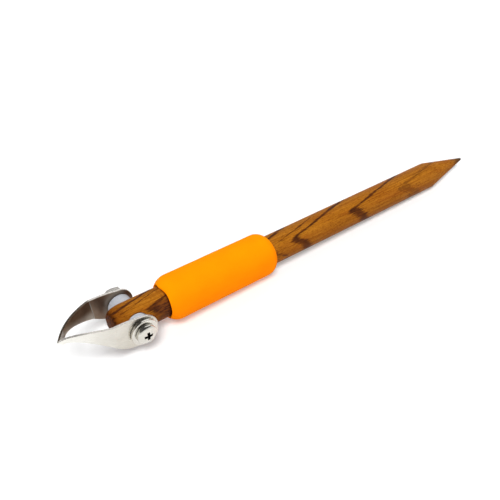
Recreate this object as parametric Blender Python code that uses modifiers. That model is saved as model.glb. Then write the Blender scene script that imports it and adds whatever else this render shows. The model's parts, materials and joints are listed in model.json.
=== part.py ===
"""V gouge: a folded sheet-steel blade bolted across the front of a pencil-pointed wooden handle.

The tool lies level on its foam grip. +X runs along the handle to its pointed end, +Y to the nut's side
and +Z up. The origin is on the surface that the tool lies on, under the middle of the tool's box.
Each piece is modelled in the tool's own frame, whose origin is the bolt's centre on the handle's axis.
"""
import math
from collections import namedtuple

import bmesh
import bpy
from mathutils import Vector
from mathutils.geometry import interpolate_bezier

MM = 0.001

# Handle: a turned dowel with a blunt front end and a pencil point
HANDLE_DIAMETER = 12.7 * MM
HANDLE_FRONT = 8.1 * MM           # bolt to the blunt front end
HANDLE_FRONT_ROUND = 6.0 * MM     # length over which the front end rounds off
HANDLE_FRONT_DROP = 2.2 * MM
HANDLE_REAR = 169.6 * MM          # bolt to the shoulder of the point
POINT_LENGTH = 27.5 * MM
POINT_ROUND = 0.7 * MM
RECESS_DEPTH = 2.35 * MM          # spot face for a spacer, below the handle's side

# Grip: a foam tube over the handle
GRIP_WALL = 2.75 * MM
GRIP_LENGTH = 52.4 * MM
GRIP_SETBACK = 7.65 * MM          # blade's eye to the grip's front end
GRIP_FRONT_CROWN = 5.7 * MM       # length over which each end rounds off
GRIP_REAR_CROWN = 4.8 * MM
GRIP_LIP_ROUND = 0.5 * MM

# Blade: one strip of sheet, folded to a V, with an eye round the bolt at each end
SHEET = 0.9 * MM
EYE_RADIUS = 6.35 * MM
UPPER_CREASE_REACH = 11.7 * MM    # the crease where an arm turns inward, ahead of the bolt
UPPER_CREASE_HEIGHT = 7.55 * MM
NEAR_LOWER_CREASE_REACH = 11.2 * MM
FAR_LOWER_CREASE_REACH = 10.2 * MM
NEAR_LOWER_CREASE_DROP = 2.1 * MM
FAR_LOWER_CREASE_DROP = 2.5 * MM
LOWER_CREASE_SPLAY = 0.65 * MM    # how far the lower edge leans out at the crease
UPPER_BULGE = 0.35 * MM           # how far an edge bulges out between the eye and the crease
NEAR_LOWER_BULGE = 1.6 * MM
FAR_LOWER_BULGE = 0.4 * MM
UPPER_TIP_REACH = 28.75 * MM      # the fold at the V's tip, from its upper to its lower end
UPPER_TIP_HEIGHT = 4.35 * MM
LOWER_TIP_REACH = 26.85 * MM
LOWER_TIP_HEIGHT = 2.2 * MM
# How far, and which way, the edges leave the crease and run into the tip
UPPER_CREASE_PULL = Vector((-7.6, -2.15, 0.25)) * MM
UPPER_TIP_PULL = Vector((3.2, 2.9, 3.5)) * MM
LOWER_CREASE_PULL = Vector((-6.2, -3.15, 4.15)) * MM
LOWER_TIP_PULL = Vector((0.85, 3.3, 4.55)) * MM

# Bolt stack: screw, washers, spacers and nut
SCREW_DIAMETER = 4.17 * MM
SCREW_PAST_NUT = 1.6 * MM
SCREW_END_CHAMFER = 0.4 * MM
HEAD_DIAMETER = 8.0 * MM
HEAD_WALL = 1.1 * MM
HEAD_DOME = 1.3 * MM
CROSS_SPAN = 4.6 * MM
CROSS_FLOOR_SPAN = 2.2 * MM
CROSS_SLOT = 1.15 * MM
CROSS_DEPTH = 1.8 * MM
WASHER_DIAMETER = 11.1 * MM
WASHER_THICKNESS = 1.24 * MM
WASHER_CHAMFER = 0.12 * MM
SPACER_DIAMETER = 9.53 * MM
NEAR_SPACER_LENGTH = 3.8 * MM
FAR_SPACER_LENGTH = 4.6 * MM
SPACER_CHAMFER = 0.3 * MM
NUT_ACROSS_FLATS = 8.73 * MM
NUT_HEIGHT = 2.4 * MM
NUT_CHAMFER = math.radians(30)
NUT_TURN = math.radians(36)

# Clearances
SEAT_GAP = 0.2 * MM               # between faces that are clamped together
SLIP_GAP = 0.2 * MM               # round a piece that is pushed over or into another
BOLT_HOLE_GAP = 0.2 * MM          # round the screw

# Facets
HANDLE_SEGMENTS = 48
GRIP_SEGMENTS = 32
BOLT_SEGMENTS = 32
ARC_STEPS = 6
EYE_STEPS = 10
FLANK_STEPS = 6
FRONT_STEPS = 14
SHEET_ROWS = 4
SHARP_ANGLE = math.radians(35)
MERGE = 0.001 * MM
CUT_MARGIN = 1.0 * MM             # how far a cutter runs past what it cuts

# Sizes that follow from the ones above
HANDLE_RADIUS = HANDLE_DIAMETER / 2
HANDLE_TIP = HANDLE_REAR + POINT_LENGTH
RECESS_FLOOR = HANDLE_RADIUS - RECESS_DEPTH
GRIP_BORE_RADIUS = HANDLE_RADIUS + SLIP_GAP
GRIP_RADIUS = GRIP_BORE_RADIUS + GRIP_WALL
GRIP_FRONT = EYE_RADIUS + GRIP_SETBACK
ARM_FLAT_REACH = WASHER_DIAMETER / 2 + 2 * SEAT_GAP
SCREW_RADIUS = SCREW_DIAMETER / 2
BOLT_HOLE_RADIUS = SCREW_RADIUS + BOLT_HOLE_GAP

# Turns that lay a piece's own Z axis along the handle, or along the bolt to either side
ALONG_HANDLE = (0.0, math.pi / 2, 0.0)
TO_FAR_SIDE = (-math.pi / 2, 0.0, 0.0)
TO_NEAR_SIDE = (math.pi / 2, 0.0, 0.0)

# Faces of the bolt stack on one side of the handle, counted outward from the handle's axis
Stack = namedtuple("Stack", "spacer_inner spacer_outer arm_middle washer_inner washer_outer clamp_face")


def bolt_stack(spacer_length):
    """Pile up spacer, arm and washer on the spot face, with a seat gap between each two."""
    spacer_inner = RECESS_FLOOR + SEAT_GAP
    spacer_outer = spacer_inner + spacer_length
    arm_middle = spacer_outer + SEAT_GAP + SHEET / 2
    washer_inner = arm_middle + SHEET / 2 + SEAT_GAP
    washer_outer = washer_inner + WASHER_THICKNESS
    return Stack(spacer_inner, spacer_outer, arm_middle, washer_inner, washer_outer, washer_outer + SEAT_GAP)


NEAR = bolt_stack(NEAR_SPACER_LENGTH)
FAR = bolt_stack(FAR_SPACER_LENGTH)
NUT_OUTER = FAR.clamp_face + NUT_HEIGHT
SCREW_END = NUT_OUTER + SCREW_PAST_NUT


def clear_scene():
    for old in list(bpy.data.objects):
        bpy.data.objects.remove(old, do_unlink=True)


def new_collection(name):
    collection = bpy.data.collections.new(name)
    bpy.context.scene.collection.children.link(collection)
    return collection


def new_empty(name, collection, parent=None):
    empty = bpy.data.objects.new(name, None)
    collection.objects.link(empty)
    empty.parent = parent
    return empty


def new_object(name, bm, collection, parent, rotation=(0.0, 0.0, 0.0)):
    """Turn a bmesh into a named object in a collection, placed under a parent."""
    mesh = bpy.data.meshes.new(name)
    bm.to_mesh(mesh)
    bm.free()
    piece = bpy.data.objects.new(name, mesh)
    collection.objects.link(piece)
    piece.parent = parent
    piece.rotation_euler = rotation
    return piece


def arc(centre, radius, start, stop, steps=ARC_STEPS):
    """Points on an arc in a flat plane, both ends included."""
    points = []
    for step in range(steps + 1):
        angle = start + (stop - start) * step / steps
        points.append((centre[0] + radius * math.cos(angle), centre[1] + radius * math.sin(angle)))
    return points


def tangent_angle(across, along, radius):
    """Angle at which a line from a point above a circle's far left touches the circle's upper side."""
    distance = math.hypot(across, along)
    return math.atan2(along, across) - math.acos(radius / distance)


def turned(name, profile, closed, segments, collection, parent, rotation):
    """Turn a profile of (radius, height) points, listed down its outer side, about the piece's Z axis.

    The profile starts half a facet round, so that facets and not corners lie on the axes.
    """
    half_facet = math.pi / segments
    bm = bmesh.new()
    verts = []
    for radius, height in profile:
        verts.append(bm.verts.new((radius * math.cos(half_facet), radius * math.sin(half_facet), height)))
    for first, second in zip(verts, verts[1:]):
        bm.edges.new((first, second))
    if closed:
        bm.edges.new((verts[-1], verts[0]))
    piece = new_object(name, bm, collection, parent, rotation)
    screw = piece.modifiers.new("turned", "SCREW")
    screw.angle = math.tau
    screw.steps = segments
    screw.render_steps = segments
    screw.use_merge_vertices = True
    screw.merge_threshold = MERGE
    return piece


def boolean(piece, cutter, operation):
    modifier = piece.modifiers.new(cutter.name, "BOOLEAN")
    modifier.operation = operation
    modifier.solver = "EXACT"
    modifier.object = cutter


def as_cutter(piece):
    piece.hide_render = True
    piece.display_type = "WIRE"
    return piece


def finish(piece, colour, roughness, metallic=0.0):
    """Give a piece its own material and smooth shading with sharp edges kept."""
    material = bpy.data.materials.new(piece.name)
    material.use_nodes = True
    shader = material.node_tree.nodes["Principled BSDF"]
    shader.inputs["Base Color"].default_value = (*colour, 1.0)
    shader.inputs["Roughness"].default_value = roughness
    shader.inputs["Metallic"].default_value = metallic
    piece.data.materials.append(material)
    piece.data.shade_smooth()
    piece.data.set_sharp_from_angle(angle=SHARP_ANGLE)
    return piece


def make_handle(parts, cutters, tool):
    """Dowel with a blunt front end and a pencil point, cut for the spacers and the screw."""
    tip_centre = HANDLE_TIP - POINT_ROUND
    touch = tangent_angle(HANDLE_REAR - tip_centre, HANDLE_RADIUS, POINT_ROUND)
    point = [(across, tip_centre + along) for along, across in arc((0.0, 0.0), POINT_ROUND, 0.0, touch)]
    shoulder = HANDLE_FRONT_ROUND - HANDLE_FRONT
    front = []
    for across, along in arc((0.0, 0.0), 1.0, 0.0, math.pi / 2):
        drop = HANDLE_FRONT_DROP * (1 - across)
        front.append((HANDLE_RADIUS - drop, shoulder - HANDLE_FRONT_ROUND * along))
    profile = point + [(HANDLE_RADIUS, HANDLE_REAR)] + front + [(0.0, -HANDLE_FRONT)]
    handle = turned("handle", profile, False, HANDLE_SEGMENTS, parts, tool, ALONG_HANDLE)

    recess_radius = SPACER_DIAMETER / 2 + SLIP_GAP
    mouth = HANDLE_RADIUS + CUT_MARGIN
    spool = [
        (0.0, mouth),
        (recess_radius, mouth),
        (recess_radius, RECESS_FLOOR),
        (BOLT_HOLE_RADIUS, RECESS_FLOOR),
        (BOLT_HOLE_RADIUS, -RECESS_FLOOR),
        (recess_radius, -RECESS_FLOOR),
        (recess_radius, -mouth),
        (0.0, -mouth),
    ]
    cutter = turned("handle_cutter", spool, False, BOLT_SEGMENTS, cutters, tool, TO_FAR_SIDE)
    boolean(handle, as_cutter(cutter), "DIFFERENCE")
    return finish(handle, (0.45, 0.21, 0.05), 0.32)


def crown(rise, length):
    """Arc that leaves the side of a tube and drops by rise over length, as (drop, reach) points."""
    radius = (length**2 + rise**2) / (2 * rise)
    end = math.atan2(length, radius - rise)
    return [(radius - across, along) for across, along in arc((0.0, 0.0), radius, 0.0, end)]


def make_grip(parts, tool):
    """Foam tube pushed onto the handle, each end rounded off down to a small lip at the bore."""
    rear = GRIP_FRONT + GRIP_LENGTH
    lip = min(GRIP_LIP_ROUND, GRIP_WALL / 2)
    foot = GRIP_BORE_RADIUS + lip
    rise = GRIP_RADIUS - foot
    rear_shoulder = rear - GRIP_REAR_CROWN
    front_shoulder = GRIP_FRONT + GRIP_FRONT_CROWN
    profile = [(GRIP_RADIUS - drop, rear_shoulder + reach) for drop, reach in crown(rise, GRIP_REAR_CROWN)]
    profile.reverse()
    profile += [(GRIP_RADIUS - drop, front_shoulder - reach) for drop, reach in crown(rise, GRIP_FRONT_CROWN)]
    profile += arc((foot, GRIP_FRONT + lip), lip, -math.pi / 2, -math.pi)[1:]
    profile += arc((foot, rear - lip), lip, math.pi, math.pi / 2)[:-1]
    grip = turned("foam_grip", profile, True, GRIP_SEGMENTS, parts, tool, ALONG_HANDLE)
    return finish(grip, (1.0, 0.36, 0.01), 0.9)


def blade_flank(start, crease, bulge):
    """One edge of an arm between the top or bottom of its eye and the crease, flat under the washer."""
    lean = (crease.y - start.y) / (-crease.x - ARM_FLAT_REACH)
    points = []
    for step in range(1, FLANK_STEPS):
        share = step / FLANK_STEPS
        point = start.lerp(crease, share)
        point.y = start.y + lean * max(-point.x - ARM_FLAT_REACH, 0.0)
        point.z += bulge * 4 * share * (1 - share)
        points.append(point)
    return points


def blade_edge(side, arm_middle, bulge, crease, crease_pull, tip, tip_pull):
    """One edge of a half of the strip, from the back of the eye to the tip.

    side is 1 for the upper edge and -1 for the lower one.
    """
    eye = arc((0.0, 0.0), EYE_RADIUS, 0.0, side * math.pi / 2, EYE_STEPS)
    points = [Vector((along, arm_middle, height)) for along, height in eye]
    points += blade_flank(points[-1], crease, side * bulge)
    points += interpolate_bezier(crease, crease + crease_pull, tip + tip_pull, tip, FRONT_STEPS + 1)
    return points


def blade_half(arm_middle, lower_crease_reach, lower_crease_drop, lower_bulge):
    """Lower and upper edge of the half on the +Y side, as pairs of points from its eye to the tip."""
    upper = blade_edge(
        1,
        arm_middle,
        UPPER_BULGE,
        Vector((-UPPER_CREASE_REACH, arm_middle, UPPER_CREASE_HEIGHT)),
        UPPER_CREASE_PULL,
        Vector((-UPPER_TIP_REACH, 0.0, UPPER_TIP_HEIGHT)),
        UPPER_TIP_PULL,
    )
    lower = blade_edge(
        -1,
        arm_middle,
        lower_bulge,
        Vector((-lower_crease_reach, arm_middle + LOWER_CREASE_SPLAY, -lower_crease_drop)),
        LOWER_CREASE_PULL,
        Vector((-LOWER_TIP_REACH, 0.0, LOWER_TIP_HEIGHT)),
        LOWER_TIP_PULL,
    )
    return list(zip(lower, upper))


def make_blade(parts, cutters, pivot):
    """Folded strip: a sheet stretched between its upper and lower edges, thickened, with two bolt holes."""
    mirror = Vector((1.0, -1.0, 1.0))
    far_half = blade_half(FAR.arm_middle, FAR_LOWER_CREASE_REACH, FAR_LOWER_CREASE_DROP, FAR_LOWER_BULGE)
    near_half = blade_half(NEAR.arm_middle, NEAR_LOWER_CREASE_REACH, NEAR_LOWER_CREASE_DROP, NEAR_LOWER_BULGE)
    near_half = [(low * mirror, high * mirror) for low, high in reversed(near_half)]

    bm = bmesh.new()
    columns = []
    for low, high in far_half + near_half[1:]:
        column = [bm.verts.new(low.lerp(high, row / SHEET_ROWS)) for row in range(SHEET_ROWS + 1)]
        columns.append(column)
    for left, right in zip(columns, columns[1:]):
        for row in range(SHEET_ROWS):
            bm.faces.new((left[row], right[row], right[row + 1], left[row + 1]))
    bmesh.ops.remove_doubles(bm, verts=bm.verts, dist=MERGE)
    blade = new_object("v_blade", bm, parts, pivot)
    solidify = blade.modifiers.new("sheet", "SOLIDIFY")
    solidify.thickness = SHEET
    solidify.offset = 0.0
    solidify.use_even_offset = True

    far = FAR.clamp_face
    near = -NEAR.clamp_face
    drill = [(0.0, far), (BOLT_HOLE_RADIUS, far), (BOLT_HOLE_RADIUS, near), (0.0, near)]
    cutter = turned("blade_cutter", drill, False, BOLT_SEGMENTS, cutters, pivot, TO_FAR_SIDE)
    boolean(blade, as_cutter(cutter), "DIFFERENCE")
    return finish(blade, (0.72, 0.70, 0.66), 0.22, 1.0)


def make_ring(name, diameter, chamfer, faces, parts, tool, rotation):
    """Flat ring round the screw between its inner and outer face, counted from the handle's axis."""
    inner_face, outer_face = faces
    radius = diameter / 2
    profile = [
        (radius - chamfer, outer_face),
        (radius, outer_face - chamfer),
        (radius, inner_face + chamfer),
        (radius - chamfer, inner_face),
        (BOLT_HOLE_RADIUS, inner_face),
        (BOLT_HOLE_RADIUS, outer_face),
    ]
    return turned(name, profile, True, BOLT_SEGMENTS, parts, tool, rotation)


def make_spacer(name, stack, rotation, parts, tool):
    faces = (stack.spacer_inner, stack.spacer_outer)
    spacer = make_ring(name, SPACER_DIAMETER, SPACER_CHAMFER, faces, parts, tool, rotation)
    return finish(spacer, (0.80, 0.83, 0.90), 0.4)


def make_washer(name, stack, rotation, parts, tool):
    faces = (stack.washer_inner, stack.washer_outer)
    washer = make_ring(name, WASHER_DIAMETER, WASHER_CHAMFER, faces, parts, tool, rotation)
    return finish(washer, (0.75, 0.73, 0.69), 0.25, 1.0)


def make_screw(parts, cutters, tool):
    """Pan-head screw with a cross recess; its Z axis points from the shank's end out through the head."""
    rim = HEAD_DIAMETER / 2
    dome_foot = NEAR.clamp_face + HEAD_WALL
    head_top = dome_foot + HEAD_DOME
    dome = []
    for across, rise in arc((0.0, 0.0), 1.0, math.pi / 2, 0.0):
        dome.append((rim * across, dome_foot + HEAD_DOME * rise))
    shank = [
        (rim, NEAR.clamp_face),
        (SCREW_RADIUS, NEAR.clamp_face),
        (SCREW_RADIUS, SCREW_END_CHAMFER - SCREW_END),
        (SCREW_RADIUS - SCREW_END_CHAMFER, -SCREW_END),
        (0.0, -SCREW_END),
    ]
    screw = turned("pan_screw", dome + shank, False, BOLT_SEGMENTS, parts, tool, TO_NEAR_SIDE)
    for index in range(2):
        bm = bmesh.new()
        bmesh.ops.create_cube(bm, size=1.0)
        for vert in bm.verts:
            at_floor = vert.co.z < 0
            span = CROSS_FLOOR_SPAN if at_floor else CROSS_SPAN
            vert.co.x *= span
            vert.co.y *= CROSS_SLOT
            vert.co.z = head_top - CROSS_DEPTH if at_floor else head_top + CUT_MARGIN
        cutter = new_object(f"cross_cutter_{index + 1}", bm, cutters, screw, (0.0, 0.0, index * math.pi / 2))
        boolean(screw, as_cutter(cutter), "DIFFERENCE")
    return finish(screw, (0.78, 0.77, 0.74), 0.2, 1.0)


def make_nut(parts, cutters, tool):
    """Hexagon nut with both faces chamfered, bored to pass the screw."""
    corner = NUT_ACROSS_FLATS / 2 / math.cos(math.pi / 6)
    bm = bmesh.new()
    bmesh.ops.create_cone(bm, cap_ends=True, segments=6, radius1=corner, radius2=corner, depth=NUT_HEIGHT)
    for vert in bm.verts:
        vert.co.z += (FAR.clamp_face + NUT_OUTER) / 2
    nut = new_object("hex_nut", bm, parts, tool, (*TO_FAR_SIDE[:2], 0.0))
    nut.rotation_euler.rotate_axis("Z", NUT_TURN)

    flat = NUT_ACROSS_FLATS / 2
    reach = corner + CUT_MARGIN
    drop = (reach - flat) * math.tan(NUT_CHAMFER)
    low = FAR.clamp_face - CUT_MARGIN
    high = NUT_OUTER + CUT_MARGIN
    lens = [
        (0.0, high),
        (flat - CUT_MARGIN / math.tan(NUT_CHAMFER), high),
        (reach, NUT_OUTER - drop),
        (reach, FAR.clamp_face + drop),
        (flat - CUT_MARGIN / math.tan(NUT_CHAMFER), low),
        (0.0, low),
    ]
    chamfer = turned("nut_chamfer", lens, False, BOLT_SEGMENTS, cutters, tool, TO_FAR_SIDE)
    boolean(nut, as_cutter(chamfer), "INTERSECT")
    drill = [(0.0, high), (BOLT_HOLE_RADIUS, high), (BOLT_HOLE_RADIUS, low), (0.0, low)]
    bore = turned("nut_cutter", drill, False, BOLT_SEGMENTS, cutters, tool, TO_FAR_SIDE)
    boolean(nut, as_cutter(bore), "DIFFERENCE")
    return finish(nut, (0.75, 0.74, 0.71), 0.25, 1.0)


def stand_on_origin(tool, pieces):
    """Move the tool so that the origin lies under the middle of its box, level with its lowest point."""
    bpy.context.view_layer.update()
    depsgraph = bpy.context.evaluated_depsgraph_get()
    corners = []
    for piece in pieces:
        shown = piece.evaluated_get(depsgraph)
        corners += [shown.matrix_world @ vert.co for vert in shown.data.vertices]
    low = Vector([min(corner[axis] for corner in corners) for axis in range(3)])
    high = Vector([max(corner[axis] for corner in corners) for axis in range(3)])
    middle = (low + high) / 2
    tool.location -= Vector((middle.x, middle.y, low.z))
    bpy.context.view_layer.update()


def main():
    clear_scene()
    parts = new_collection("v_gouge")
    cutters = new_collection("v_gouge_cutters")
    tool = new_empty("tool_frame", parts)
    pivot = new_empty("blade_pivot", parts, tool)
    pieces = [
        make_handle(parts, cutters, tool),
        make_grip(parts, tool),
        make_blade(parts, cutters, pivot),
        make_spacer("near_spacer", NEAR, TO_NEAR_SIDE, parts, tool),
        make_spacer("far_spacer", FAR, TO_FAR_SIDE, parts, tool),
        make_washer("near_washer", NEAR, TO_NEAR_SIDE, parts, tool),
        make_washer("far_washer", FAR, TO_FAR_SIDE, parts, tool),
        make_screw(parts, cutters, tool),
        make_nut(parts, cutters, tool),
    ]
    stand_on_origin(tool, pieces)


main()
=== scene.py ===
"""Looks of the v gouge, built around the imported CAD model.

The CAD nodes keep their shapes and get smooth shading and procedural materials. The foam grip is
a fuller piece of its own. Lengths are in millimetres until they reach Blender, which works in metres.
Places are measured from the bolt's centre: along the handle to its point, across to the nut, and up.
"""

import json
import math

import bpy
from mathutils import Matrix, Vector, noise


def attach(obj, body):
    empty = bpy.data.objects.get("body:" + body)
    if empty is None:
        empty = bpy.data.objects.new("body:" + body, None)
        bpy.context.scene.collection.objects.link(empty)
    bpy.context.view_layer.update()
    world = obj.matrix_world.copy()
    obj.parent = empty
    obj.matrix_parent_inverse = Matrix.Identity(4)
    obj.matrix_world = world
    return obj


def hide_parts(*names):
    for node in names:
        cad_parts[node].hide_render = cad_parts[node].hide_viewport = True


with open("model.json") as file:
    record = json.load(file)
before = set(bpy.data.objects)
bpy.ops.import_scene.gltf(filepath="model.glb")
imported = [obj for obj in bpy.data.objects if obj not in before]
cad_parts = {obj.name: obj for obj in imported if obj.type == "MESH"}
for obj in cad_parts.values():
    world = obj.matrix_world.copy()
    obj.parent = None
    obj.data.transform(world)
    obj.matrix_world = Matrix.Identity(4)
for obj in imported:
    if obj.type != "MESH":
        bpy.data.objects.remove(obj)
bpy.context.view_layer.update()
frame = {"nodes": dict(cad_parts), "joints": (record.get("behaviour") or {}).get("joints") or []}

MM = 0.001
BOLT = Vector(frame["joints"][0]["pos_m"]) / MM

# Camera, fitted to the photograph's outline of the tool, in the frame's own axes
CAMERA_PLACE = (-170.796, -175.319, 188.999)
CAMERA_TURN = (52.302, -1.329, -38.610)
CAMERA_LENS = 49.85
CAMERA_SENSOR = 36.0

# Foam grip
GRIP_FRONT = 14.0
GRIP_LENGTH = 52.1
GRIP_RADIUS = 9.3
GRIP_BORE_RADIUS = 6.55
GRIP_FRONT_CROWN = 4.9            # length over which each end rounds off
GRIP_REAR_CROWN = 4.0
GRIP_LIP = 0.6                    # round where an end meets the bore
GRIP_LUMPS = 0.06
GRIP_LUMP_SIZE = 6.0
GRIP_SEGMENTS = 144
GRIP_BODY_STEPS = 40
GRIP_CROWN_STEPS = 16
GRIP_LIP_STEPS = 8

# Front cut of the foam. Turns round the handle are in degrees, from the far side up over the top.
CUT_SHIFT = -0.4                  # the whole cut stands a little forward
CUT_FAR_SETBACK = 1.0             # how far back it stands on the far side
CUT_WAVES = (                     # how far back, the turn at the middle, and the reach to each side
    (0.35, 122.0, 40.0),          # notch between the top and the near side
    (-0.35, 78.0, 35.0),          # tongue over the top
    (1.3, 245.0, 50.0),           # setback below the near side
)
CUT_FADE = 12.0                   # length behind the cut over which these die out
GAPE = 0.9                        # gap between the foam and the handle on the near side of the cut
GAPE_DEPTH = 4.0
GAPE_TURN = 162.0
GAPE_REACH = 60.0

# Smoothing of the faceted CAD nodes, and the worn round of their edges
ROUND_ANGLE = 30.0
SHEET_ANGLE = 9.0                 # low enough to keep the blade's crease sharp
WELD = 0.002
SHEET_BEVEL = 0.16
FASTENER_BEVEL = 0.08
BEVEL_ANGLE = 40.0
BEVEL_SEGMENTS = 2

# Dark figure of the wood: nested arrowheads that point forward along the near side
FIGURE_AXIS = (-0.766, -0.643)    # direction, across and up, in which the arrowheads spread
FIGURE_LEGS = (1.65, 6.2)         # how far back an arrowhead's two legs run for each millimetre sideways
FIGURE_BLUNT = 0.4                # rounds the arrowheads' tips, in square millimetres
FIGURE_WANDER = 8.0
FIGURE_FEATHER = 9.0
BROAD_BAND = 6.0                  # place of one broad band, and the step from each to the next
BROAD_STEP = 35.0
NARROW_BAND = -18.0
NARROW_STEP = 80.0
FIGURE_FADE = (122.0, 168.0)      # where the figure fades out towards the point

# Places along the handle where its wood darkens
FRONT_SHADE = (-1.0, -8.0)
# where the patch of painted shade by the grip's front begins and ends
SHADE_PATCH_FRONT = (4.0, 12.0)
SHADE_PATCH_REAR = (40.0, 30.0)
POINT_SHADE = (185.0, 196.0)

# Blade's crease on each arm, from its lower end to its upper end, and the tip, as (along, up)
NEAR_CREASE_LOW = (-11.2, -2.1)
FAR_CREASE_LOW = (-10.2, -2.5)
CREASE_HIGH = (-11.7, 7.55)
TIP_LOW = (-26.85, 2.2)
# the tip's shine and the outside's brightening below are painted highlight and painted reflection
TIP_PAINTED_HIGHLIGHT = (-25.2, -26.4)        # where the steel brightens along the tip
PAINTED_SHEEN_RUN = (-5.0, -26.0)        # where the outside brightens towards the tip
EYE_RING = (7.4, 5.6)             # radii between which the eye's inner face turns pale

# Screw head, which faces the near side
HEAD_RADIUS = 4.0
HEAD_FOOT = 11.84
HEAD_DOME = 1.3
RECESS_REACH = 0.7                # share of the head's radius that the recess lies within

# Floor. The tool leans back on the rear of its grip and the shoulder of its point, given as (along, up).
FLOOR_SIZE = 8000.0
FLOOR_GREY = 0.82
FLOOR_GLOW = 0.22
GRIP_REST = (62.1, -9.27)
POINT_REST = (169.6, -6.35)

# White walls up to the first elevation in degrees, and a dim ceiling above the second
WALL_TOP = 14.0
CEILING_FOOT = 34.0
CEILING_LIGHT = 0.08


class Nodes:
    """Adds and links the nodes of one material."""

    def __init__(self, name):
        self.material = bpy.data.materials.new(name)
        self.material.use_nodes = True
        self.tree = self.material.node_tree
        self.shader = self.tree.nodes["Principled BSDF"]

    def put(self, socket, value):
        """Links a socket to another one, or gives it a plain value."""
        if isinstance(value, bpy.types.NodeSocket):
            self.tree.links.new(value, socket)
        else:
            socket.default_value = value

    def node(self, kind, inputs=None, **settings):
        made = self.tree.nodes.new(kind)
        for name, value in settings.items():
            setattr(made, name, value)
        for name, value in (inputs or {}).items():
            self.put(made.inputs[name], value)
        return made

    def math(self, operation, first, second=0.0, third=0.0):
        made = self.node("ShaderNodeMath", operation=operation)
        for socket, value in zip(made.inputs, (first, second, third)):
            self.put(socket, value)
        return made.outputs[0]

    def square_sum(self, first, second):
        return self.math("MULTIPLY_ADD", first, first, self.math("MULTIPLY", second, second))

    def place(self):
        """The point on the surface, in millimetres from the bolt, wherever the piece has moved."""
        coordinates = self.node("ShaderNodeTexCoord")
        moved = self.node("ShaderNodeVectorMath", operation="MULTIPLY_ADD")
        self.put(moved.inputs[0], coordinates.outputs["Object"])
        moved.inputs[1].default_value = (1.0 / MM, 1.0 / MM, 1.0 / MM)
        moved.inputs[2].default_value = -BOLT
        return moved.outputs[0]

    def facing(self):
        """The way that the surface faces in the piece's own axes."""
        return self.node("ShaderNodeTexCoord").outputs["Normal"]

    def parts(self, vector):
        return self.node("ShaderNodeSeparateXYZ", {"Vector": vector}).outputs

    def noise(self, vector, scale, detail, roughness=0.5):
        made = self.node("ShaderNodeTexNoise", {
            "Vector": vector,
            "Scale": scale,
            "Detail": detail,
            "Roughness": roughness,
        })
        return made.outputs["Fac"]

    def drawn_noise(self, place, scales, detail=2.0, roughness=0.5):
        """Noise with a scale of its own along each axis, such as the fibres of wood."""
        made = self.node("ShaderNodeVectorMath", operation="MULTIPLY")
        self.put(made.inputs[0], place)
        made.inputs[1].default_value = scales
        return self.noise(made.outputs[0], 1.0, detail, roughness)

    def ramp(self, value, *stops):
        """Colours at places along a value, with straight lines between them."""
        made = self.node("ShaderNodeValToRGB", {"Fac": value})
        band = made.color_ramp
        while len(band.elements) < len(stops):
            band.elements.new(0.5)
        for element, (at, colour) in zip(band.elements, stops):
            element.position = at
            element.color = (*colour, 1.0)
        return made.outputs["Color"]

    def mix(self, share, first, second):
        made = self.node("ShaderNodeMix", data_type="RGBA")
        for index, value in ((0, share), (6, first), (7, second)):
            if isinstance(value, tuple):
                value = (*value, 1.0)
            self.put(made.inputs[index], value)
        return made.outputs[2]

    def span(self, value, low, high, to_low=0.0, to_high=1.0):
        """A value's run from low to high, eased into a run from to_low to to_high."""
        made = self.node("ShaderNodeMapRange", {
            "Value": value,
            "From Min": low,
            "From Max": high,
            "To Min": to_low,
            "To Max": to_high,
        }, interpolation_type="SMOOTHSTEP")
        return made.outputs[0]

    def bump(self, height, distance, strength):
        made = self.node("ShaderNodeBump", {
            "Height": height,
            "Distance": distance * MM,
            "Strength": strength,
        })
        self.put(self.shader.inputs["Normal"], made.outputs[0])

    def set(self, **values):
        """Sets the shader's sockets by their names, in small letters with underscores."""
        for name, value in values.items():
            title = name.replace("_", " ").title().replace("Ior", "IOR")
            if isinstance(value, tuple):
                value = (*value, 1.0)
            self.put(self.shader.inputs[title], value)


def foam_material():
    """Foam with fine pores, its orange painted with light and shade: reddest on the near side, yellower
    towards the top and far side, and a little yellower again underneath.
    """
    made = Nodes("orange_foam")
    place = made.place()
    cells = made.noise(place, 1.9, 3.0, 0.65)
    clouds = made.noise(place, 0.13, 3.0)
    faced = made.parts(made.facing())
    away = made.math("MULTIPLY_ADD", faced[1], 0.5, made.math("MULTIPLY", faced[2], 0.87))
    # painted light and shade: the share of the yellower orange follows which way the surface faces
    painted_light_share = made.span(made.math("ABSOLUTE", made.math("ADD", away, 0.35)), 0.0, 1.4)
    painted_shade_orange = made.ramp(clouds, (0.3, (0.98, 0.225, 0.001)), (0.7, (1.0, 0.240, 0.001)))
    painted_lit_orange = made.ramp(clouds, (0.3, (0.98, 0.305, 0.001)), (0.7, (1.0, 0.325, 0.001)))
    colour = made.mix(painted_light_share, painted_shade_orange, painted_lit_orange)
    pitted = made.mix(made.span(cells, 0.36, 0.28), colour, (0.88, 0.20, 0.001))
    made.set(base_color=pitted, roughness=0.9, specular_ior_level=0.02)
    made.bump(cells, 0.1, 0.6)
    return made.material


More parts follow.
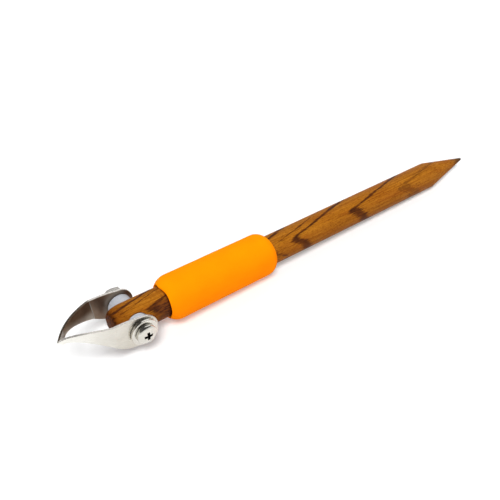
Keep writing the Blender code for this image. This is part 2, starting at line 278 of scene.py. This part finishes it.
def wood_ground(made, place, fibres):
    """The golden wood between the dark bands, with ruddy zones, fine flecks and a darker front end."""
    colour = made.ramp(
        fibres,
        (0.30, (0.262, 0.082, 0.006)),
        (0.50, (0.395, 0.138, 0.010)),
        (0.70, (0.510, 0.198, 0.017)),
    )
    ruddy = made.drawn_noise(place, (0.035, 0.30, 0.30), 3.0)
    colour = made.mix(made.span(ruddy, 0.45, 0.70, 0.0, 0.45), colour, (0.300, 0.072, 0.006))
    flecks = made.drawn_noise(place, (0.7, 1.9, 1.9), 4.0, 0.75)
    colour = made.mix(made.span(flecks, 0.46, 0.68, 0.0, 0.75), colour, (0.150, 0.040, 0.003))
    along = made.parts(place)[0]
    return made.mix(made.span(along, *FRONT_SHADE, 0.0, 0.7), colour, (0.170, 0.040, 0.004))


def arrowhead_place(made, place):
    """How far along the handle the tip of the arrowhead lies that runs through a point."""
    along, across, up = made.parts(place)
    sideways = made.math("MULTIPLY", across, FIGURE_AXIS[0])
    sideways = made.math("MULTIPLY_ADD", up, FIGURE_AXIS[1], sideways)
    away = made.math("SQRT", made.math("MULTIPLY_ADD", sideways, sideways, FIGURE_BLUNT))
    short_leg, long_leg = FIGURE_LEGS
    lag = made.math("MULTIPLY", away, (long_leg + short_leg) / 2)
    lag = made.math("MULTIPLY_ADD", sideways, (short_leg - long_leg) / 2, lag)
    wander = made.drawn_noise(place, (0.045, 0.22, 0.22))
    straight = made.math("SUBTRACT", made.math("SUBTRACT", along, lag), FIGURE_WANDER / 2)
    return made.math("MULTIPLY_ADD", wander, FIGURE_WANDER, straight)


def grain_bands(made, place):
    """How dark the figure of the wood is: broad and narrow bands with feathered edges."""
    ring = arrowhead_place(made, place)
    feather = made.drawn_noise(place, (0.10, 2.2, 2.2), 4.0, 0.65)
    spread = made.math("MULTIPLY_ADD", feather, FIGURE_FEATHER, -FIGURE_FEATHER / 2)
    broad = made.math("PINGPONG", made.math("SUBTRACT", ring, BROAD_BAND), BROAD_STEP / 2)
    narrow = made.math("PINGPONG", made.math("SUBTRACT", ring, NARROW_BAND), NARROW_STEP / 2)
    broad_dark = made.span(made.math("ADD", broad, spread), 3.6, 1.4, 0.0, 0.95)
    narrow_dark = made.span(made.math("ADD", narrow, spread), 1.3, 0.2, 0.0, 0.9)
    figure = made.math("MAXIMUM", broad_dark, narrow_dark)
    return made.math("MULTIPLY", figure, made.span(ring, *FIGURE_FADE, 1.0, 0.0))


def painted_shade_below(made, place, colour, streaks):
    """Painted shade on the side that faces down and near, darkest in a streaky patch by the grip's
    front.
    """
    along = made.parts(place)[0]
    faced = made.parts(made.facing())
    upward = made.math("MULTIPLY_ADD", faced[1], 0.7, made.math("MULTIPLY", faced[2], 0.7))
    # painted shade on the side that faces down and near
    colour = made.mix(made.span(upward, 0.3, -0.7, 0.0, 0.32), colour, (0.120, 0.032, 0.004))
    # a patch of painted shade by the grip's front, on the lower near side
    shade_patch = made.math("MULTIPLY", made.span(along, *SHADE_PATCH_FRONT), made.span(along, *SHADE_PATCH_REAR))
    shade_patch = made.math("MULTIPLY", shade_patch, made.span(upward, 0.35, -0.15, 0.0, 0.92))
    shade_patch_colour = made.ramp(streaks, (0.36, (0.022, 0.008, 0.009)), (0.62, (0.165, 0.048, 0.010)))
    return made.mix(shade_patch, colour, shade_patch_colour)


def darker_ends(made, place, colour):
    """Dark rings where the wood is cut across, and a grey tip."""
    end = made.math("ABSOLUTE", made.parts(made.facing())[0])
    rings = made.ramp(
        made.drawn_noise(place, (0.1, 0.9, 0.9), 4.0),
        (0.35, (0.018, 0.004, 0.001)),
        (0.65, (0.120, 0.030, 0.004)),
    )
    colour = made.mix(made.span(end, 0.30, 0.80, 0.0, 0.9), colour, rings)
    along = made.parts(place)[0]
    return made.mix(made.span(along, *POINT_SHADE, 0.0, 0.9), colour, (0.035, 0.022, 0.014))


def painted_grip_shadow(made, place, colour):
    """Painted shadow on the wood from just outside the foam's ends inwards, a dark line where the foam
    meets the handle.
    """
    half = GRIP_LENGTH / 2
    along = made.parts(place)[0]
    from_middle = made.math("ABSOLUTE", made.math("SUBTRACT", along, GRIP_FRONT + half))
    # painted shadow where the foam's ends shade the handle
    grip_shadow_share = made.span(from_middle, half + 0.9, half - 0.3, 0.0, 0.85)
    return made.mix(grip_shadow_share, colour, (0.040, 0.006, 0.002))


def wood_material():
    """Varnished golden hardwood with dark arrowheads and pores, and painted shade below and by the grip.
    """
    made = Nodes("streaked_hardwood")
    place = made.place()
    fibres = made.drawn_noise(place, (0.05, 1.7, 1.7), 5.0, 0.6)
    streaks = made.drawn_noise(place, (0.22, 1.5, 1.5), 3.0, 0.7)
    heartwood = made.ramp(streaks, (0.35, (0.022, 0.007, 0.005)), (0.65, (0.105, 0.027, 0.005)))
    colour = made.mix(grain_bands(made, place), wood_ground(made, place, fibres), heartwood)
    colour = painted_shade_below(made, place, colour, streaks)
    pores = made.drawn_noise(place, (0.3, 5.0, 5.0))
    colour = made.mix(made.span(pores, 0.62, 0.74, 0.0, 0.55), colour, (0.10, 0.030, 0.004))
    colour = darker_ends(made, place, colour)
    colour = painted_grip_shadow(made, place, colour)
    roughness = made.span(fibres, 0.3, 0.7, 0.55, 0.42)
    made.set(base_color=colour, roughness=roughness, specular_ior_level=0.02)
    made.bump(fibres, 0.06, 0.35)
    return made.material


def line_through(made, value, start, stop):
    """The straight line from start to stop, each a (value, result) pair, as a function of the value."""
    slope = (stop[1] - start[1]) / (stop[0] - start[0])
    return made.math("MULTIPLY_ADD", value, slope, start[1] - slope * start[0])


def on_far_arm(made, across):
    return made.math("GREATER_THAN", across, 0.0)


def crease_line(made, across, up):
    """How far along the arm its crease runs at each height."""
    near = line_through(made, up, NEAR_CREASE_LOW[::-1], CREASE_HIGH[::-1])
    far = line_through(made, up, FAR_CREASE_LOW[::-1], CREASE_HIGH[::-1])
    return made.math("MULTIPLY_ADD", on_far_arm(made, across), made.math("SUBTRACT", far, near), near)


def leaf_colour(made, along, up, clouds):
    """The inside ahead of the crease: dark brown as a painted dark reflection, paler towards the honed
    lower edge, partly its bare steel and partly a painted reflection, and with a painted highlight at
    the tip.
    """
    above = made.math("SUBTRACT", up, line_through(made, along, FAR_CREASE_LOW, TIP_LOW))
    colour = made.ramp(clouds, (0.35, (0.212, 0.130, 0.076)), (0.65, (0.325, 0.219, 0.138)))
    # painted reflection that pales towards the honed lower edge
    colour = made.mix(made.span(above, 5.8, 0.2), colour, (0.76, 0.70, 0.62))
    # painted highlight at the tip
    return made.mix(made.span(along, *TIP_PAINTED_HIGHLIGHT, 0.0, 0.85), colour, (0.80, 0.78, 0.73))


def eye_colour(made, along, up, clouds):
    """The inside behind the crease: a paler grey brown than ahead of it, as painted reflection, and
    paler again in a ring round the bolt.
    """
    colour = made.ramp(clouds, (0.35, (0.245, 0.170, 0.122)), (0.65, (0.310, 0.232, 0.172)))
    radius = made.math("SQRT", made.square_sum(along, up))
    return made.mix(made.span(radius, *EYE_RING, 0.0, 0.85), colour, (0.37, 0.31, 0.25))


def inside_colour(made, place, clouds):
    """The inside of the V, with a painted highlight along its crease."""
    along, across, up = made.parts(place)
    ahead = made.math("SUBTRACT", crease_line(made, across, up), along)
    eye = eye_colour(made, along, up, clouds)
    leaf = leaf_colour(made, along, up, clouds)
    colour = made.mix(made.span(ahead, -0.05, 0.05), eye, leaf)
    # painted highlight along the crease
    wear_and_sheen = made.span(made.math("ABSOLUTE", made.math("ADD", ahead, 0.15)), 0.25, 0.1, 0.0, 0.8)
    return made.mix(wear_and_sheen, colour, (0.40, 0.36, 0.32))


def outside_colour(made, along, clouds):
    """The outside of the V, with a painted reflection: darker at the eyes and brighter towards the tip.
    """
    shaded_steel = made.ramp(clouds, (0.35, (0.57, 0.54, 0.475)), (0.65, (0.65, 0.62, 0.555)))
    bright = made.ramp(clouds, (0.35, (0.84, 0.82, 0.765)), (0.65, (0.90, 0.88, 0.83)))
    # painted reflection, darker at the eyes and brighter towards the tip
    return made.mix(made.span(along, *PAINTED_SHEEN_RUN), shaded_steel, bright)


def rim_colour(made, along, across):
    """The sheared rims of the sheet, grey, with painted shade on the rim of the far arm's leaf."""
    crease = CREASE_HIGH[0]
    leaf = made.span(along, crease + 1.0, crease - 1.0)
    # painted shade on the rim of the far arm's leaf
    far_leaf_shade = made.math("MULTIPLY", on_far_arm(made, across), leaf)
    return made.mix(far_leaf_shade, (0.55, 0.52, 0.48), (0.10, 0.075, 0.055))


def steel_material():
    """Rolled sheet: painted reflections make it bright outside and dark brown inside, and its sheared
    rims are dull.
    """
    made = Nodes("rolled_steel")
    place = made.place()
    along, across, _ = made.parts(place)
    lines = made.drawn_noise(place, (0.12, 0.12, 5.0), 4.0, 0.6)
    clouds = made.noise(place, 0.16, 3.0)
    outward = made.math("MULTIPLY", made.parts(made.facing())[1], made.math("SIGN", across))
    inside = made.span(outward, -0.4, -0.6)
    rim = made.span(made.math("ABSOLUTE", outward), 0.6, 0.4)
    colour = made.mix(inside, outside_colour(made, along, clouds), inside_colour(made, place, clouds))
    colour = made.mix(rim, colour, rim_colour(made, along, across))
    metallic = made.math("MULTIPLY_ADD", rim, -0.45, 1.0)
    roughness = made.math("MULTIPLY_ADD", inside, 0.16, made.span(lines, 0.3, 0.7, 0.2, 0.3))
    made.set(base_color=colour, metallic=metallic, roughness=roughness)
    made.bump(lines, 0.01, 0.2)
    return made.material


def recess_depth(made, place):
    """How far below the domed face of the screw's head a point in the middle of the head lies."""
    along, across, up = made.parts(place)
    square = made.square_sum(along, up)
    flatness = made.math("MULTIPLY_ADD", square, -1 / HEAD_RADIUS**2, 1.0)
    shell = made.math("SQRT", made.math("MAXIMUM", flatness, 0.0))
    face = made.math("MULTIPLY_ADD", shell, -HEAD_DOME, -HEAD_FOOT)
    depth = made.math("SUBTRACT", across, face)
    in_middle = made.math("LESS_THAN", square, (RECESS_REACH * HEAD_RADIUS)**2)
    in_head = made.math("LESS_THAN", across, HEAD_DOME - HEAD_FOOT)
    return made.math("MULTIPLY", depth, made.math("MULTIPLY", in_middle, in_head))


def plate_material(name, dim, bright):
    """Plated steel, with painted shade in the screw's recess."""
    made = Nodes(name)
    place = made.place()
    haze = made.noise(place, 0.9, 3.0)
    colour = made.ramp(haze, (0.35, dim), (0.65, bright))
    # painted shade in the screw's recess
    recess_shade = made.span(recess_depth(made, place), 0.08, 0.45, 0.0, 0.96)
    colour = made.mix(recess_shade, colour, (0.018, 0.014, 0.018))
    made.set(base_color=colour, metallic=1.0, roughness=made.span(haze, 0.3, 0.7, 0.12, 0.2))
    made.bump(made.noise(place, 3.0, 2.0), 0.01, 0.15)
    return made.material


def nylon_material():
    """Milky white nylon."""
    made = Nodes("white_nylon")
    haze = made.noise(made.place(), 1.5, 3.0)
    colour = made.ramp(haze, (0.3, (0.47, 0.49, 0.53)), (0.7, (0.54, 0.56, 0.60)))
    made.set(base_color=colour, roughness=0.4, subsurface_weight=0.5, subsurface_scale=2.0 * MM)
    made.shader.inputs["Subsurface Radius"].default_value = (1.0, 1.0, 1.0)
    made.bump(haze, 0.02, 0.3)
    return made.material


def new_group(name):
    """An empty geometry node group with one geometry in and one out."""
    group = bpy.data.node_groups.new(name, "GeometryNodeTree")
    group.interface.new_socket("Geometry", in_out="INPUT", socket_type="NodeSocketGeometry")
    group.interface.new_socket("Geometry", in_out="OUTPUT", socket_type="NodeSocketGeometry")
    return group, group.nodes.new("NodeGroupInput"), group.nodes.new("NodeGroupOutput")


def weld_group():
    """A node group that joins the loose triangles of a CAD node and drops their flat normals."""
    group, start, end = new_group("weld")
    loose = group.nodes.new("GeometryNodeRemoveAttribute")
    loose.inputs["Name"].default_value = "custom_normal"
    joined = group.nodes.new("GeometryNodeMergeByDistance")
    joined.inputs["Distance"].default_value = WELD * MM
    group.links.new(start.outputs[0], loose.inputs["Geometry"])
    group.links.new(loose.outputs[0], joined.inputs["Geometry"])
    group.links.new(joined.outputs[0], end.inputs[0])
    return group


def smooth_group(name, angle_limit):
    """A node group that shades edges flatter than a limit smoothly."""
    group, start, end = new_group(name)
    angle = group.nodes.new("GeometryNodeInputMeshEdgeAngle")
    gentle = group.nodes.new("FunctionNodeCompare")
    gentle.data_type = "FLOAT"
    gentle.operation = "LESS_THAN"
    gentle.inputs[1].default_value = math.radians(angle_limit)
    faces = group.nodes.new("GeometryNodeSetShadeSmooth")
    edges = group.nodes.new("GeometryNodeSetShadeSmooth")
    edges.domain = "EDGE"
    group.links.new(start.outputs[0], faces.inputs["Geometry"])
    group.links.new(faces.outputs[0], edges.inputs["Geometry"])
    group.links.new(angle.outputs["Unsigned Angle"], gentle.inputs[0])
    group.links.new(gentle.outputs[0], edges.inputs["Shade Smooth"])
    group.links.new(edges.outputs[0], end.inputs[0])
    return group


def dress(node, material, weld, smooth, bevel=0.0):
    """Gives a CAD node a material, smooth shading and, if asked, worn edges. Its shape stays."""
    item = frame["nodes"][node]
    item.material_slots[0].material = material
    item.modifiers.new("weld", "NODES").node_group = weld
    if bevel:
        wear_and_sheen = item.modifiers.new("worn_edges", "BEVEL")
        wear_and_sheen.width = bevel * MM
        wear_and_sheen.segments = BEVEL_SEGMENTS
        wear_and_sheen.limit_method = "ANGLE"
        wear_and_sheen.angle_limit = math.radians(BEVEL_ANGLE)
    item.modifiers.new("smooth", "NODES").node_group = smooth


def grip_end(crown):
    """One end of the foam as (distance in from the end, radius) points, from the bore outwards.

    A small round at the bore runs into the long crown at the angle where the two arcs touch.
    """
    meet = 0.6
    for _ in range(30):
        drop = GRIP_RADIUS - GRIP_BORE_RADIUS - GRIP_LIP * (1 + math.cos(meet))
        length = crown - GRIP_LIP * (1 - math.sin(meet))
        meet = 2 * math.atan2(drop, length)
    points = []
    for step in range(GRIP_LIP_STEPS):
        turn = math.pi + (meet - math.pi) * step / GRIP_LIP_STEPS
        inward = GRIP_LIP * (1 - math.sin(turn))
        points.append((inward, GRIP_BORE_RADIUS + GRIP_LIP * (1 + math.cos(turn))))
    radius = length / math.sin(meet)
    for step in range(GRIP_CROWN_STEPS + 1):
        turn = meet * (1 - step / GRIP_CROWN_STEPS)
        inward = crown - radius * math.sin(turn)
        points.append((inward, GRIP_RADIUS - radius * (1 - math.cos(turn))))
    return points


def between(start, stop, steps):
    """The places inside a run that cut it into equal steps."""
    return [start + (stop - start) * step / steps for step in range(1, steps)]


def grip_outline():
    """The foam's half section as (along, radius) points, round the outside and back down the bore."""
    rear = GRIP_FRONT + GRIP_LENGTH
    front_end = [(GRIP_FRONT + inward, radius) for inward, radius in grip_end(GRIP_FRONT_CROWN)]
    rear_end = [(rear - inward, radius) for inward, radius in grip_end(GRIP_REAR_CROWN)]
    outside = between(GRIP_FRONT + GRIP_FRONT_CROWN, rear - GRIP_REAR_CROWN, GRIP_BODY_STEPS)
    bore = between(rear - GRIP_LIP, GRIP_FRONT + GRIP_LIP, GRIP_BODY_STEPS)
    points = front_end
    points += [(along, GRIP_RADIUS) for along in outside]
    points += reversed(rear_end)
    points += [(along, GRIP_BORE_RADIUS) for along in bore]
    return points


def ease(value):
    """A smooth step from 0 to 1, flat outside that range."""
    value = min(max(value, 0.0), 1.0)
    return value * value * (3 - 2 * value)


def around(turn, middle, reach):
    """How near a turn round the handle is to a middle, from 1 there to 0 a reach away."""
    return ease(1 - abs(math.degrees(turn) - middle) / reach)


def cut_setback(turn):
    """How far back the front cut of the foam stands at a turn round the handle."""
    setback = CUT_SHIFT + CUT_FAR_SETBACK * ease(math.cos(turn))
    for depth, middle, reach in CUT_WAVES:
        setback += depth * around(turn, middle, reach)
    return setback


def foam_point(along, radius, turn):
    """A point of the foam, with its leaning front cut, its gape and its slight lumps."""
    wall = GRIP_RADIUS - GRIP_BORE_RADIUS
    near_cut = ease(1 - (along - GRIP_FRONT) / CUT_FADE)
    at_mouth = ease(1 - (along - GRIP_FRONT) / GAPE_DEPTH)
    at_bore = ease((GRIP_RADIUS - radius) / wall)
    radius += GAPE * at_mouth * at_bore * around(turn, GAPE_TURN, GAPE_REACH)
    along += cut_setback(turn) * near_cut
    spot = Vector((along, radius * math.cos(turn), radius * math.sin(turn)))
    outside = ease((radius - GRIP_BORE_RADIUS) / wall)
    radius += GRIP_LUMPS * outside * (noise.noise(spot / GRIP_LUMP_SIZE) - 0.5)
    point = BOLT + Vector((along, radius * math.cos(turn), radius * math.sin(turn)))
    point.z = max(point.z, 0.0)
    return point * MM


def grip_mesh():
    """The foam tube, as one closed skin."""
    outline = grip_outline()
    count = len(outline)
    corners = []
    for index in range(GRIP_SEGMENTS):
        turn = math.tau * index / GRIP_SEGMENTS
        corners += [foam_point(along, radius, turn) for along, radius in outline]
    faces = []
    for index in range(GRIP_SEGMENTS):
        here = index * count
        there = (index + 1) % GRIP_SEGMENTS * count
        for step in range(count):
            after = (step + 1) % count
            faces.append((here + step, here + after, there + after, there + step))
    mesh = bpy.data.meshes.new("foam_tube")
    mesh.from_pydata(corners, [], faces)
    mesh.validate()
    mesh.shade_smooth()
    return mesh


def add_object(name, data):
    """A new object in the scene."""
    item = bpy.data.objects.new(name, data)
    bpy.context.scene.collection.objects.link(item)
    return item


def make_grip():
    """The foam grip, which takes the place of its plain CAD solid."""
    mesh = grip_mesh()
    mesh.materials.append(foam_material())
    grip = add_object("foam_tube", mesh)
    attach(grip, "handle_body")
    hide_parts("foam_grip")


def floor_material():
    """Pale grey that the camera and reflections see a little brighter, so that it comes out white."""
    made = Nodes("studio_floor")
    path = made.node("ShaderNodeLightPath").outputs
    seen = made.math("MAXIMUM", path["Is Camera Ray"], path["Is Glossy Ray"])
    seen = made.math("MAXIMUM", seen, path["Is Transmission Ray"])
    made.set(base_color=(FLOOR_GREY,) * 3, roughness=0.9, specular_ior_level=0.0)
    glow = made.math("MULTIPLY", seen, FLOOR_GLOW)
    made.set(emission_color=(1.0, 1.0, 1.0), emission_strength=glow)
    return made.material


def make_floor():
    """A plain floor through the two places that the tool rests on."""
    mesh = bpy.data.meshes.new("floor")
    half = FLOOR_SIZE / 2 * MM
    corners = [(-half, -half, 0), (half, -half, 0), (half, half, 0), (-half, half, 0)]
    mesh.from_pydata(corners, [], [(0, 1, 2, 3)])
    mesh.materials.append(floor_material())
    floor = add_object("floor", mesh)
    floor.location = (BOLT + Vector((GRIP_REST[0], 0.0, GRIP_REST[1]))) * MM
    floor.rotation_euler.y = -math.atan2(POINT_REST[1] - GRIP_REST[1], POINT_REST[0] - GRIP_REST[0])


def make_world():
    """White walls that fade to a dim ceiling."""
    world = bpy.data.worlds.new("studio")
    bpy.context.scene.world = world
    world.use_nodes = True
    tree = world.node_tree
    light = tree.nodes["Background"]
    light.inputs["Color"].default_value = (1, 1, 1, 1)
    way = tree.nodes.new("ShaderNodeTexCoord")
    parts = tree.nodes.new("ShaderNodeSeparateXYZ")
    fade = tree.nodes.new("ShaderNodeMapRange")
    fade.interpolation_type = "SMOOTHSTEP"
    fade.inputs["From Min"].default_value = math.sin(math.radians(WALL_TOP))
    fade.inputs["From Max"].default_value = math.sin(math.radians(CEILING_FOOT))
    fade.inputs["To Min"].default_value = 1.0
    fade.inputs["To Max"].default_value = CEILING_LIGHT
    tree.links.new(way.outputs["Generated"], parts.inputs[0])
    tree.links.new(parts.outputs["Z"], fade.inputs["Value"])
    tree.links.new(fade.outputs[0], light.inputs["Strength"])


def make_lamp(name, toward, spread, strength, in_reflections):
    """A wide soft light from far away, in the direction given."""
    lamp = bpy.data.lights.new(name, "SUN")
    lamp.angle = math.radians(spread)
    lamp.energy = strength
    item = add_object(name, lamp)
    item.rotation_euler = Vector(toward).to_track_quat("Z", "Y").to_euler()
    item.visible_glossy = in_reflections


def make_camera():
    """The photograph's view."""
    camera = bpy.data.cameras.new("camera")
    camera.lens = CAMERA_LENS
    camera.sensor_width = CAMERA_SENSOR
    item = add_object("camera", camera)
    item.location = Vector(CAMERA_PLACE) * MM
    item.rotation_euler = [math.radians(value) for value in CAMERA_TURN]
    bpy.context.scene.camera = item


bpy.context.scene.view_settings.view_transform = "Standard"
make_camera()
make_world()
make_floor()
make_lamp("softbox", toward=(0.5, 0.5, 0.707), spread=50.0, strength=0.62, in_reflections=True)
make_lamp("key", toward=(-0.34, -0.41, 0.846), spread=24.0, strength=2.88, in_reflections=False)

weld = weld_group()
round_smooth = smooth_group("round_smooth", ROUND_ANGLE)
sheet_smooth = smooth_group("sheet_smooth", SHEET_ANGLE)
nickel = plate_material("nickel_plate", dim=(0.63, 0.61, 0.555), bright=(0.71, 0.69, 0.635))
zinc = plate_material("dull_zinc", dim=(0.33, 0.315, 0.295), bright=(0.38, 0.365, 0.34))
nylon = nylon_material()
dress("handle", wood_material(), weld, round_smooth)
dress("v_blade", steel_material(), weld, sheet_smooth, SHEET_BEVEL)
for node in ("near_spacer", "far_spacer"):
    dress(node, nylon, weld, round_smooth)
for node in ("near_washer", "pan_screw"):
    dress(node, nickel, weld, round_smooth, FASTENER_BEVEL)
for node in ("far_washer", "hex_nut"):
    dress(node, zinc, weld, round_smooth, FASTENER_BEVEL)
make_grip()
